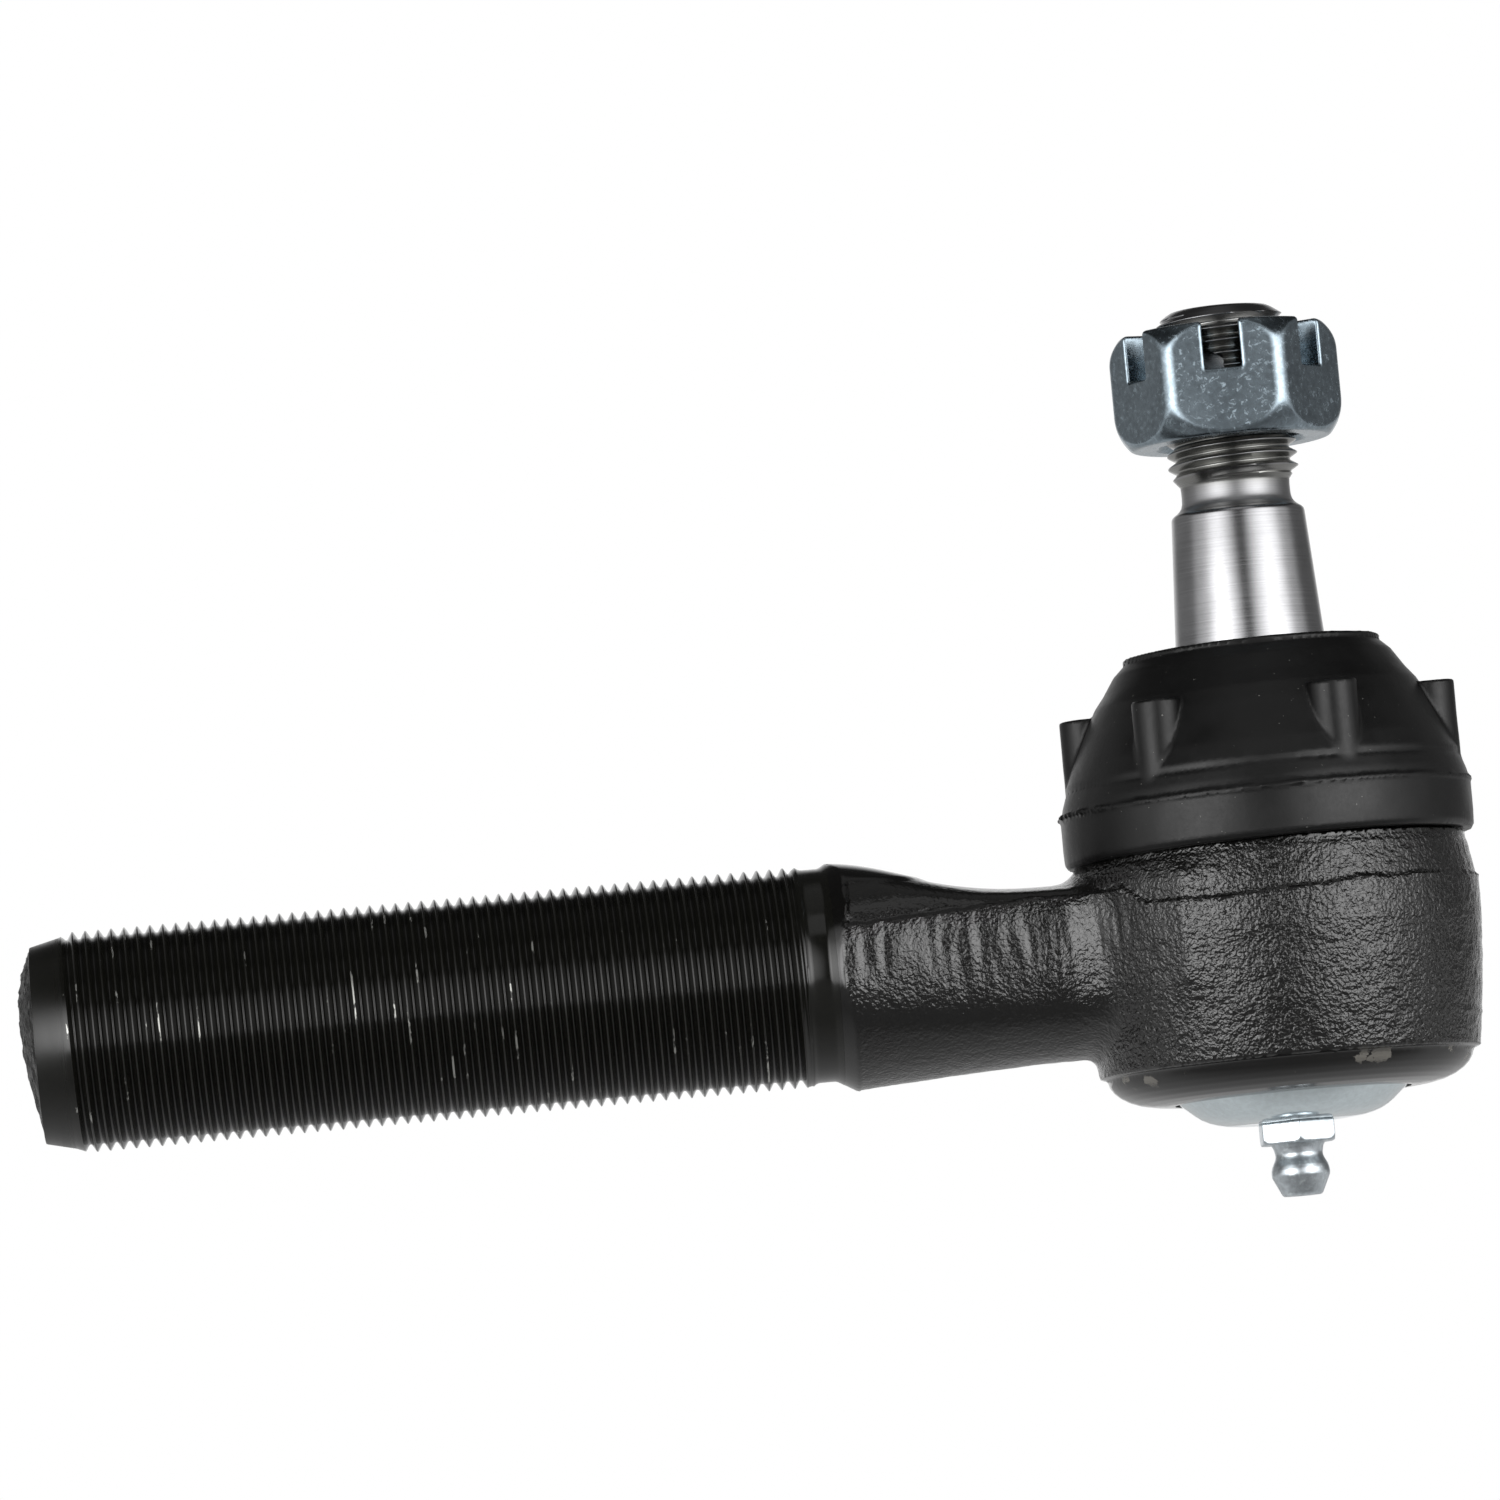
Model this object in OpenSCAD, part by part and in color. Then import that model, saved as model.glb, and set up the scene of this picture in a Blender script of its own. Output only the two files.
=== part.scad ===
// Tie rod end: a ball stud in a forged housing with a threaded shank, millimetres.
// The origin is the centre of the ball. The stud stands along +Z and the shank runs along -X.

/* [Threads] */
// Threads per inch, the same on the shank and on the stud
threads_per_inch = 18; // [16:1:20]
// Crest diameter of the shank's 15/16 inch thread
shank_thread_d = 23.8; // [23.6:0.1:24]
// Crest diameter of the stud's 9/16 inch thread
stud_thread_d = 14.28; // [14.2:0.02:14.32]

/* [Shank] */
// Distance from the stud's axis to the end of the shank
shank_reach = 137.8; // [125:0.1:150]
// Distance from the stud's axis to the first thread
shank_thread_start = 52.1; // [51:0.1:56]
// Length of the lead-in chamfer at the end of the shank
shank_chamfer_length = 3.2; // [2:0.1:4]
// Height of the rough crown left on the end face
end_crown_height = 2; // [1:0.1:2.4]
// Diameter of the plain relief behind the thread
relief_d = 23.3; // [22.8:0.1:23.5]

/* [Neck] */
// Distance from the stud's axis to the shoulder where the forging ends
shoulder_x = 47.5; // [46.5:0.1:48.5]
// Radius of the round underside at the shoulder
shoulder_r = 12.9; // [12.6:0.1:13.2]
// Half width of the neck beside the head
neck_half_width = 10.3; // [9.6:0.1:11]
// Height of the neck's flat top above the shank's axis
neck_top_z = 7.5; // [7:0.1:8]

/* [Head] */
// Largest radius of the forged head
head_r = 22.3; // [22:0.1:22.8]
// Radius of the machined collar that carries the boot
collar_r = 20; // [19.8:0.1:20.2]
// Height of the head's top face
head_top_z = 12.5; // [12:0.1:12.8]
// Height of the head's bottom face, under the crimped lip
head_bottom_z = -17.7; // [-17.9:0.1:-17.6]
// Radius of the opening that the crimped lip leaves
lip_r = 12.9; // [12.8:0.1:13.4]

/* [Ball joint] */
// Radius of the ball, made up of the stud's head and the half ball
ball_r = 15.4; // [15.3:0.1:15.5]
// Radius of the stud's straight journal
journal_r = 8.2; // [8:0.05:8.3]
// Largest tilt of the stud to any side, in degrees
tilt_limit = 20; // [15:1:21]

/* [Stud] */
// Height of the taper's small end
taper_top_z = 46.5; // [45.5:0.1:47]
// Radius of the taper's small end
taper_small_r = 7.3; // [7.2:0.05:7.4]
// Taper, as length over the change of diameter
taper_ratio = 8; // [7.5:0.1:10]
// Height of the stud's end
stud_top_z = 69; // [67:0.1:71]
// Diameter of the cross hole for a cotter pin
cotter_d = 3.57; // [3.2:0.01:4]
// Height of the cross hole
cotter_z = 62; // [61:0.1:63]
// Bearing of the cross hole, measured from -Y
cotter_bearing = -19.4; // [-30:0.1:30]

/* [Castle nut] */
// Width across the flats
nut_flats = 22.22; // [22:0.02:22.3]
// Height of the nut
nut_height = 12.5; // [12:0.1:13]
// Height at which the nut's lower face is kept on the stud
nut_seat_z = 54.2; // [53:0.1:55]
// Bearing of the middle of one face, measured from -Y
nut_bearing = -4.9; // [-30:0.1:30]
// Width of the six slots
slot_width = 4; // [3.5:0.1:4.5]
// Depth of the six slots
slot_depth = 5.3; // [4.5:0.1:6]

/* [Dust boot] */
// Radius of the boot's belt
boot_belt_r = 22.5; // [22.3:0.1:22.7]
// Height of the boot's lower edge
boot_bottom_z = 9.6; // [9.5:0.1:10]
// Height of the boot's upper rim
boot_top_z = 31.6; // [31:0.1:32]
// Thickness of the rubber
boot_wall = 2.2; // [1.8:0.1:2.4]
// Bearing of the first lug, measured from -Y
lug_bearing = 21; // [0:0.1:59]

/* [Grease fitting] */
// Width across the flats of the fitting
fitting_flats = 7.9; // [7.6:0.1:8.2]
// Height of the fitting's tip
fitting_tip_z = -28.6; // [-28.8:0.1:-28.4]

/* [Hidden] */
$fn = 128;

inch = 25.4;
pitch = inch / threads_per_inch;
thread_depth = 0.6134 * pitch;
crest_land = pitch / 8;
root_land = pitch / 4;

// Gaps: a running fit between turning pieces, and free space elsewhere.
running_gap = 0.05;
free_gap = 0.1;
through = 60;

seat_r = ball_r + 2 * running_gap;
bore_r = seat_r + free_gap;
shell_r = ball_r + running_gap;
// The mouth lets the journal lean to its limit with a degree to spare.
mouth_angle = tilt_limit + 1 + asin(journal_r / seat_r);
mouth_r = seat_r * sin(mouth_angle);
mouth_z = seat_r * cos(mouth_angle);

shank_r = shank_thread_d / 2;
shank_rim_x = shank_reach - end_crown_height;
shank_rim_r = 10.7;
chamfer_x = shank_rim_x - shank_chamfer_length;
relief_x = shoulder_x + 2;
neck_bottom_r = 11.8;
flank_inner_x = 14;
flank_outer_x = 27;
flank_root_r = 16.6;
flank_depth = 11.4;
shoulder_top_z = 12.1;

collar_z = 9.4;
lip_thickness = 0.8;
flange_thickness = 1;
flange_r = 16.65;
flange_bottom_z = head_bottom_z + lip_thickness;
flange_top_z = flange_bottom_z + flange_thickness;

dome_floor_z = -20.5;
dome_floor_r = 6.2;
cover_hole_r = 2.6;

stud_head_floor_z = -11.4;
bearing_top_z = -7;
bearing_floor_z = -14.5;
bearing_hole_r = 5.8;
plate_thickness = 1.3;
plate_r = 10.8;
plate_hole_r = 4;
plate_floor_z = bearing_floor_z - plate_thickness;
spring_thickness = 1;
spring_floor_z = dome_floor_z + flange_thickness + 4 * free_gap;
spring_outer_r = 7.4;
spring_inner_r = 4.4;

taper_length = (journal_r - taper_small_r) * taper_ratio * 2;
taper_bottom_z = taper_top_z - taper_length;
stud_thread_r = stud_thread_d / 2;
stud_neck_r = 5.95;
stud_thread_z = 49.8;
stud_chamfer = 1.1;

nut_bore_r = stud_thread_r + 0.08;
nut_corner_r = nut_flats / sqrt(3);
nut_rim_r = 12.5;

lug_count = 6;
lug_r = 2.6;
lug_centre_r = 19;
lug_top_z = 25.7;

fitting_bore_r = 1.4;
fitting_passage_r = 0.8;
fitting_chamber_z = fitting_tip_z + 1;
fitting_shoulder_z = -21.6;
check_ball_r = 1.25;
check_ball_z = fitting_chamber_z + check_ball_r + 0.25;
coil_r = 0.95;
coil_wire_r = 0.18;
coil_turns = 5;
coil_bottom_z = check_ball_z + check_ball_r + 0.05;
coil_top_z = fitting_shoulder_z - coil_wire_r - free_gap;

// Points along an arc, from the first angle to the last.
function arc(centre, radius, first, last, steps) =
    [for (i = [0:steps]) let (a = first + (last - first) * i / steps)
        [centre[0] + radius * cos(a), centre[1] + radius * sin(a)]];

// Outline of a row of thread ridges as (radius, height) points, from the bottom ridge up.
function thread_ridges(start, end, crest) =
    let (count = floor((end - start) / pitch), flank = (pitch - crest_land - root_land) / 2)
    [for (i = [0:count - 1], step = [0:3])
        let (z = start + i * pitch)
        step == 0 ? [crest - thread_depth, z] :
        step == 1 ? [crest, z + flank] :
        step == 2 ? [crest, z + flank + crest_land] :
        [crest - thread_depth, z + 2 * flank + crest_land]];

// Turns a solid that stands on +Z so that it points along the shank, -X.
module along_shank() {
    rotate([0, -90, 0])
        children();
}

module tube_z(z_low, z_high, radius) {
    translate([0, 0, z_low])
        cylinder(h = z_high - z_low, r = radius);
}

// ---- Housing ----

module head_outside() {
    bottom_round = 3.2;
    rotate_extrude()
        polygon(concat(
            [[0, head_top_z],
             [collar_r, head_top_z],
             [collar_r, collar_z],
             [head_r - 0.9, collar_z],
             [head_r - 0.1, 5],
             [head_r, 0],
             [head_r - 0.2, -4],
             [head_r - 1, -10.4],
             [head_r - 1.4, -14.1],
             [head_r - 2.3, -14.5]],
            arc([head_r - 2.3 - bottom_round, head_bottom_z + bottom_round], bottom_round, 0, -90, 6),
            [[0, head_bottom_z]]));
}

module neck() {
    inner_x = 8;
    intersection() {
        along_shank()
            rotate_extrude()
                polygon([[0, inner_x], [neck_bottom_r, inner_x], [neck_bottom_r + 0.2, 28],
                         [12.2, 35], [12.6, 41.6], [shoulder_r, shoulder_x], [0, shoulder_x]]);
        rotate([90, 0, 0])
            linear_extrude(height = through, center = true)
                polygon([[-shoulder_x, -through / 2], [-shoulder_x, shoulder_top_z], [-41.6, 10.4],
                         [-37.3, 9.2], [-33, neck_top_z + 0.7], [-28.5, neck_top_z + 0.2],
                         [-24, neck_top_z], [-inner_x, neck_top_z], [-inner_x, -through / 2]]);
        linear_extrude(height = through, center = true)
            polygon([for (side = [1, -1], p = side > 0
                ? [[-inner_x, neck_half_width], [-28, neck_half_width], [-shoulder_x, 12.2]]
                : [[-shoulder_x, 12.2], [-28, neck_half_width], [-inner_x, neck_half_width]])
                [p[0], side * p[1]]]);
    }
}

// The flanks by which the neck widens into the head: part of a cone along the shank's axis.
module neck_flanks() {
    intersection() {
        along_shank()
            translate([0, 0, flank_inner_x])
                cylinder(h = flank_outer_x - flank_inner_x, r1 = flank_root_r, r2 = neck_half_width);
        translate([-through / 2, -through / 2, -flank_depth])
            cube([through, through, flank_depth + neck_top_z - 0.2]);
    }
}

// The crown is a shallow cap, so its outline is an arc through the rim and the tip.
module shank() {
    crown_r = (pow(shank_rim_r, 2) + pow(end_crown_height, 2)) / (2 * end_crown_height);
    crown_half_angle = asin(shank_rim_r / crown_r);
    along_shank()
        rotate_extrude()
            polygon(concat(
                [[0, shoulder_x - 10],
                 [relief_d / 2 + 0.9, shoulder_x - 10],
                 [relief_d / 2 + 0.9, shoulder_x],
                 [relief_d / 2, relief_x],
                 [relief_d / 2, shank_thread_start - 0.6]],
                thread_ridges(shank_thread_start, chamfer_x, shank_r),
                [[shank_r - 0.4, chamfer_x],
                 [shank_rim_r, shank_rim_x]],
                arc([0, shank_reach - crown_r], crown_r, 90 - crown_half_angle, 90, 6)));
}

// Spherical seat above, straight bore below, counterbore for the cover and the opening in the lip.
module housing_cavity() {
    intersection() {
        sphere(r = seat_r);
        tube_z(-0.01, mouth_z, through);
    }
    translate([0, 0, mouth_z])
        cylinder(h = head_top_z - mouth_z + 0.01, r1 = mouth_r, r2 = mouth_r + 1.8);
    tube_z(flange_top_z - 0.01, 0, bore_r);
    tube_z(flange_bottom_z, flange_top_z, flange_r + running_gap);
    tube_z(head_bottom_z - 1, flange_bottom_z + 0.01, lip_r);
}

module housing() {
    color([0.08, 0.08, 0.08])
        difference() {
            union() {
                head_outside();
                neck();
                neck_flanks();
                shank();
            }
            housing_cavity();
        }
}

// ---- Cover and grease fitting ----

module end_cover() {
    side_r = lip_r - 0.15;
    inner_r = side_r - flange_thickness;
    color([0.72, 0.76, 0.8])
        rotate_extrude()
            polygon([[flange_r, flange_top_z],
                     [flange_r, flange_bottom_z],
                     [side_r, flange_bottom_z],
                     [side_r - 0.1, flange_bottom_z - 0.4],
                     [10.4, dome_floor_z + 1.2],
                     [8.7, dome_floor_z + 0.45],
                     [dome_floor_r, dome_floor_z],
                     [cover_hole_r, dome_floor_z],
                     [cover_hole_r, dome_floor_z + flange_thickness],
                     [dome_floor_r, dome_floor_z + flange_thickness],
                     [8.3, dome_floor_z + 1.45],
                     [9.6, dome_floor_z + 2.1],
                     [inner_r, flange_top_z - 0.7],
                     [inner_r, flange_top_z]]);
}

module grease_fitting() {
    hex_top_z = dome_floor_z;
    hex_bottom_z = dome_floor_z - 2.4;
    root_top_z = -18.6;
    hex_corner_r = fitting_flats / sqrt(3);
    color([0.75, 0.79, 0.85])
        difference() {
            union() {
                intersection() {
                    translate([0, 0, hex_bottom_z])
                        rotate([0, 0, 30])
                            cylinder(h = hex_top_z - hex_bottom_z, r = hex_corner_r, $fn = 6);
                    translate([0, 0, hex_bottom_z])
                        cylinder(h = hex_top_z - hex_bottom_z, r1 = 4.1, r2 = 5.6);
                }
                rotate_extrude()
                    polygon([[0, root_top_z],
                             [cover_hole_r - 0.4, root_top_z],
                             [cover_hole_r - running_gap, root_top_z - 0.4],
                             [cover_hole_r - running_gap, hex_top_z - 0.5],
                             [2.9, hex_top_z - 0.5],
                             [2.9, hex_bottom_z - 0.2],
                             [2.46, -24],
                             [2.46, -24.8],
                             [3.25, -25.9],
                             [3.25, -26.5],
                             [2.2, fitting_tip_z],
                             [0, fitting_tip_z]]);
            }
            tube_z(fitting_chamber_z, fitting_shoulder_z, fitting_bore_r);
            tube_z(fitting_tip_z - 1, root_top_z + 1, fitting_passage_r);
        }
}

module check_ball() {
    color([0.8, 0.8, 0.82])
        translate([0, 0, check_ball_z])
            sphere(r = check_ball_r, $fn = 64);
}

// A closed sweep of round rings along a helix.
module check_spring() {
    rings_per_turn = 16;
    wire_sides = 8;
    ring_count = coil_turns * rings_per_turn;
    rise = (coil_top_z - coil_bottom_z - 2 * coil_wire_r) / ring_count;
    points = [for (i = [0:ring_count], j = [0:wire_sides - 1])
        let (turn = 360 * i / rings_per_turn,
             side = 360 * j / wire_sides,
             r = coil_r + coil_wire_r * cos(side))
        [r * cos(turn), r * sin(turn), coil_bottom_z + coil_wire_r * (1 + sin(side)) + rise * i]];
    walls = [for (i = [0:ring_count - 1], j = [0:wire_sides - 1])
        let (a = i * wire_sides + j, b = i * wire_sides + (j + 1) % wire_sides)
        [a, b, b + wire_sides, a + wire_sides]];
    first_cap = [for (j = [0:wire_sides - 1]) wire_sides - 1 - j];
    last_cap = [for (j = [0:wire_sides - 1]) ring_count * wire_sides + j];
    color([0.7, 0.7, 0.72])
        polyhedron(points = points, faces = concat([first_cap], walls, [last_cap]), convexity = 10);
}

// ---- Spring-loaded seat under the ball ----

module disc_spring() {
    spring_top_z = plate_floor_z - free_gap;
    color([0.35, 0.36, 0.38])
        rotate_extrude()
            polygon([[spring_outer_r, spring_floor_z],
                     [spring_outer_r, spring_floor_z + spring_thickness],
                     [spring_inner_r, spring_top_z],
                     [spring_inner_r, spring_top_z - spring_thickness]]);
}

module pressure_plate() {
    color([0.45, 0.46, 0.48])
        difference() {
            tube_z(plate_floor_z, bearing_floor_z, plate_r);
            tube_z(plate_floor_z - 1, bearing_floor_z + 1, plate_hole_r);
        }
}

module lower_bearing() {
    color([0.82, 0.8, 0.72])
        difference() {
            tube_z(bearing_floor_z, bearing_top_z, bore_r - free_gap);
            sphere(r = shell_r);
            tube_z(bearing_floor_z - 1, bearing_floor_z + 3, bearing_hole_r);
        }
}

module half_ball_bearing() {
    crown_z = 12.3;
    color([0.5, 0.47, 0.4])
        difference() {
            intersection() {
                sphere(r = shell_r);
                tube_z(running_gap, crown_z, through);
            }
            tube_z(-1, crown_z + 1, journal_r + running_gap);
        }
}

// ---- Dust boot ----

module boot_cavity() {
    wrap_z = head_top_z + free_gap;
    rotate_extrude()
        polygon([[0, boot_bottom_z - 1],
                 [collar_r + free_gap, boot_bottom_z - 1],
                 [collar_r + free_gap, wrap_z],
                 [boot_belt_r - boot_wall - 3.3, wrap_z],
                 [boot_belt_r - boot_wall - 3.3, wrap_z + 1.6],
                 [boot_belt_r - boot_wall - 0.8, 17.5],
                 [lug_centre_r - boot_wall, 24],
                 [13.2, boot_top_z - 4],
                 [10.5, boot_top_z - 3],
                 [journal_r + free_gap, boot_top_z - 3],
                 [journal_r + free_gap, boot_top_z + 1],
                 [0, boot_top_z + 1]]);
}

module dust_boot() {
    crease_z = 17.4;
    color([0.1, 0.1, 0.1])
        difference() {
            union() {
                rotate_extrude()
                    polygon([[0, boot_bottom_z],
                             [boot_belt_r - 0.3, boot_bottom_z],
                             [boot_belt_r, boot_bottom_z + 0.4],
                             [boot_belt_r, 14.4],
                             [boot_belt_r - 0.2, 15.9],
                             [21.7, crease_z],
                             [20.9, 20.3],
                             [19.8, 22.5],
                             [18.6, 24.7],
                             [16.6, 27.8],
                             [15.3, 29.9],
                             [14.1, boot_top_z - 0.4],
                             [14.1, boot_top_z],
                             [0, boot_top_z]]);
                for (i = [0:lug_count - 1])
                    rotate([0, 0, lug_bearing - 90 + i * 360 / lug_count])
                        translate([lug_centre_r, 0, boot_bottom_z + 5])
                            cylinder(h = lug_top_z - boot_bottom_z - 5, r = lug_r, $fn = 48);
            }
            boot_cavity();
        }
}

// ---- Stud and nut ----

module ball_stud() {
    thread_end_z = stud_top_z - stud_chamfer;
    color([0.62, 0.62, 0.64])
        difference() {
            union() {
                intersection() {
                    sphere(r = ball_r);
                    tube_z(stud_head_floor_z, -running_gap, through);
                }
                rotate_extrude()
                    polygon(concat(
                        [[0, -1],
                         [journal_r, -1],
                         [journal_r, taper_bottom_z],
                         [taper_small_r, taper_top_z - 0.3],
                         [taper_small_r - 0.3, taper_top_z],
                         [stud_neck_r, taper_top_z + 0.3],
                         [stud_neck_r, stud_thread_z - 0.3]],
                        thread_ridges(stud_thread_z, thread_end_z, stud_thread_r),
                        [[stud_thread_r - thread_depth, thread_end_z],
                         [5.3, stud_top_z],
                         [0, stud_top_z]]));
            }
            translate([0, 0, cotter_z])
                rotate([0, 0, cotter_bearing])
                    rotate([90, 0, 0])
                        cylinder(h = through, r = cotter_d / 2, center = true);
        }
}

// The hexagon's corners are rounded off towards both ends, as on a forged nut.
module castle_nut() {
    nut_top_z = nut_seat_z + nut_height;
    color([0.7, 0.74, 0.8])
        rotate([0, 0, nut_bearing])
            difference() {
                intersection() {
                    tube_hex(nut_seat_z, nut_top_z, nut_corner_r);
                    rotate_extrude()
                        polygon([[0, nut_seat_z],
                                 [nut_rim_r - 1.6, nut_seat_z],
                                 [nut_rim_r - 1.1, nut_seat_z + 0.6],
                                 [nut_rim_r - 0.6, nut_seat_z + 1.4],
                                 [nut_rim_r - 0.2, nut_seat_z + 2.4],
                                 [nut_rim_r, nut_seat_z + 4.2],
                                 [nut_rim_r, nut_top_z - 3.2],
                                 [nut_rim_r - 0.2, nut_top_z - 2],
                                 [nut_rim_r - 0.6, nut_top_z - 1.1],
                                 [nut_rim_r - 1, nut_top_z - 0.5],
                                 [nut_rim_r - 1.45, nut_top_z],
                                 [0, nut_top_z]]);
                }
                tube_z(nut_seat_z - 1, nut_top_z + 1, nut_bore_r);
                for (i = [0:2])
                    rotate([0, 0, 30 + 60 * i])
                        translate([-through / 2, -slot_width / 2, nut_top_z - slot_depth])
                            cube([through, slot_width, slot_depth + 1]);
            }
}

module tube_hex(z_low, z_high, corner_r) {
    translate([0, 0, z_low])
        cylinder(h = z_high - z_low, r = corner_r, $fn = 6);
}

housing();
end_cover();
grease_fitting();
check_ball();
check_spring();
disc_spring();
pressure_plate();
lower_bearing();
dust_boot();
half_ball_bearing();
ball_stud();
castle_nut();
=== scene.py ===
"""The looks of a tie rod end: forged housing, ball stud, slotted nut, dust boot, cover and fitting.

Lengths inside the shape code are millimetres in the frame of the CAD model: the ball's centre is the
origin, the stud stands along +Z and the shank runs along -X. MM turns them into Blender's metres.
"""
import math

import bmesh
import bpy
import numpy as np
from mathutils import Matrix, Vector


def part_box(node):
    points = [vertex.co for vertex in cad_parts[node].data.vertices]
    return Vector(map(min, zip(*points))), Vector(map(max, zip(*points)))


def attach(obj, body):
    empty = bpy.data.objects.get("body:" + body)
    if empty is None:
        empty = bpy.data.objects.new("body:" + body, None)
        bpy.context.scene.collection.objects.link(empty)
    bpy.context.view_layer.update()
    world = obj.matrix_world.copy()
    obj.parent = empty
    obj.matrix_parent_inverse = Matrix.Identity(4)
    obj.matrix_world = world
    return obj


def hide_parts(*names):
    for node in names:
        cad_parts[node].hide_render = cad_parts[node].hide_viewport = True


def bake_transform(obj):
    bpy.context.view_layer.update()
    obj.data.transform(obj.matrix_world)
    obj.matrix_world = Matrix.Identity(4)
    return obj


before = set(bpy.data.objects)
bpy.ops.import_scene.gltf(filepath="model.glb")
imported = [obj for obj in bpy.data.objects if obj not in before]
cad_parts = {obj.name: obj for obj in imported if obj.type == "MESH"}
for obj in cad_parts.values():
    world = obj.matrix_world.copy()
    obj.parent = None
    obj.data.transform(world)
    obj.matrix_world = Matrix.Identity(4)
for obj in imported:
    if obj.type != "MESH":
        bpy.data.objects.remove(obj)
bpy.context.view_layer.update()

MM = 0.001
TAU = 2 * math.pi
PITCH = 25.4 / 18
THREAD_DEPTH = 0.6134 * PITCH

# Driving sizes that scene and CAD share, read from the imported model.
BOOT_LOW, BOOT_HIGH = (np.array(c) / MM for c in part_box("dust_boot"))
NUT_LOW, NUT_HIGH = (np.array(c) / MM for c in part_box("castle_nut"))
STUD_LOW, STUD_HIGH = (np.array(c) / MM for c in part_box("ball_stud"))
HOUSING_LOW, HOUSING_HIGH = (np.array(c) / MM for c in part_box("housing"))
COVER_LOW, COVER_HIGH = (np.array(c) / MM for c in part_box("end_cover"))
FITTING_LOW, FITTING_HIGH = (np.array(c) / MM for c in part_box("grease_fitting"))


# ---------------------------------------------------------------- camera, light and floor

def make_camera():
    """A long lens, slightly below the object and looking up, rolled so that the stud leans left."""
    distance = 1.15
    pitch, yaw, roll = math.radians(4.6), math.radians(-2.0), math.radians(-5.25)
    ball_in_view = Vector((0.0577, -0.02018, -distance))
    turn = (Matrix.Rotation(yaw, 3, "Z") @ Matrix.Rotation(math.pi / 2 + pitch, 3, "X")
            @ Matrix.Rotation(roll, 3, "Z"))
    data = bpy.data.cameras.new("camera")
    data.lens = 252.6
    data.sensor_width = 36
    data.clip_start, data.clip_end = 0.01, 20
    camera = bpy.data.objects.new("camera", data)
    camera.matrix_world = Matrix.Translation(-(turn @ ball_in_view)) @ turn.to_4x4()
    bpy.context.scene.collection.objects.link(camera)
    bpy.context.scene.camera = camera


def make_softbox(name, azimuth, distance, size, power, spread=180, elevation=5):
    """A rectangular light aimed at the ball, brightest in its middle when spread is narrow.

    azimuth is measured from -Y towards +X; it, elevation and spread are in degrees, distance and size
    in metres and power in watts.
    """
    a, e = math.radians(azimuth), math.radians(elevation)
    way = Vector((math.sin(a) * math.cos(e), -math.cos(a) * math.cos(e), math.sin(e)))
    data = bpy.data.lights.new(name, "AREA")
    data.shape = "RECTANGLE"
    data.size, data.size_y = size
    data.energy = power
    data.spread = math.radians(spread)
    light = bpy.data.objects.new(name, data)
    light.location = way * distance
    light.rotation_euler = way.to_track_quat("Z", "Y").to_euler()
    bpy.context.scene.collection.objects.link(light)


def make_world():
    """White to the eye; to reflections it is white behind, pale below and above, and dark all round."""
    world = bpy.data.worlds.new("studio")
    bpy.context.scene.world = world
    world.use_nodes = True
    nodes, links = world.node_tree.nodes, world.node_tree.links
    nodes.clear()
    coords = nodes.new("ShaderNodeTexCoord")
    split = nodes.new("ShaderNodeSeparateXYZ")
    links.new(coords.outputs["Generated"], split.inputs[0])
    glow = None
    for axis, low, high, dark, bright in (("Y", 0.82, 0.97, 0.035, 1.0), ("Z", -0.2, -0.8, 0.0, 0.4),
                                          ("Z", 0.85, 0.97, 0.0, 0.2)):
        fade = nodes.new("ShaderNodeMapRange")
        for name, number in (("From Min", low), ("From Max", high), ("To Min", dark), ("To Max", bright)):
            fade.inputs[name].default_value = number
        links.new(split.outputs[axis], fade.inputs["Value"])
        brightest = nodes.new("ShaderNodeMath")
        brightest.operation = "MAXIMUM"
        links.new(fade.outputs["Result"], brightest.inputs[0])
        brightest.inputs[1].default_value = 0
        if glow is not None:
            links.new(glow, brightest.inputs[1])
        glow = brightest.outputs[0]
    seen = nodes.new("ShaderNodeLightPath")
    pick = nodes.new("ShaderNodeMix")
    links.new(seen.outputs["Is Camera Ray"], pick.inputs["Factor"])
    links.new(glow, pick.inputs["A"])
    pick.inputs["B"].default_value = 1.0
    background = nodes.new("ShaderNodeBackground")
    background.inputs["Color"].default_value = (1, 1, 1, 1)
    links.new(pick.outputs["Result"], background.inputs["Strength"])
    output = nodes.new("ShaderNodeOutputWorld")
    links.new(background.outputs[0], output.inputs["Surface"])


def make_floor():
    height, half = -0.12, 1.5
    mesh = bpy.data.meshes.new("floor")
    mesh.from_pydata([(-half, -half, height), (half, -half, height), (half, half, height),
                      (-half, half, height)], [], [(0, 1, 2, 3)])
    floor = bpy.data.objects.new("floor", mesh)
    bpy.context.scene.collection.objects.link(floor)
    paper = Shader("floor_paper_painted_glow")
    grain = paper.noise(900, detail=3)
    paper.set("Base Color", paper.ramp(grain, [(0.3, (0.5, 0.5, 0.5)), (0.7, (0.54, 0.54, 0.54))]))
    paper.set("Roughness", 0.6)
    # Painted glow: the floor emits light of its own, none in front of the object and more behind it.
    paper.set("Emission Color", (1, 1, 1))
    paper.set("Emission Strength", paper.span(paper.axis("Y"), -0.09, 0.03, 0.0, 0.36))
    mesh.materials.append(paper.material)


# ---------------------------------------------------------------- materials

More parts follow.
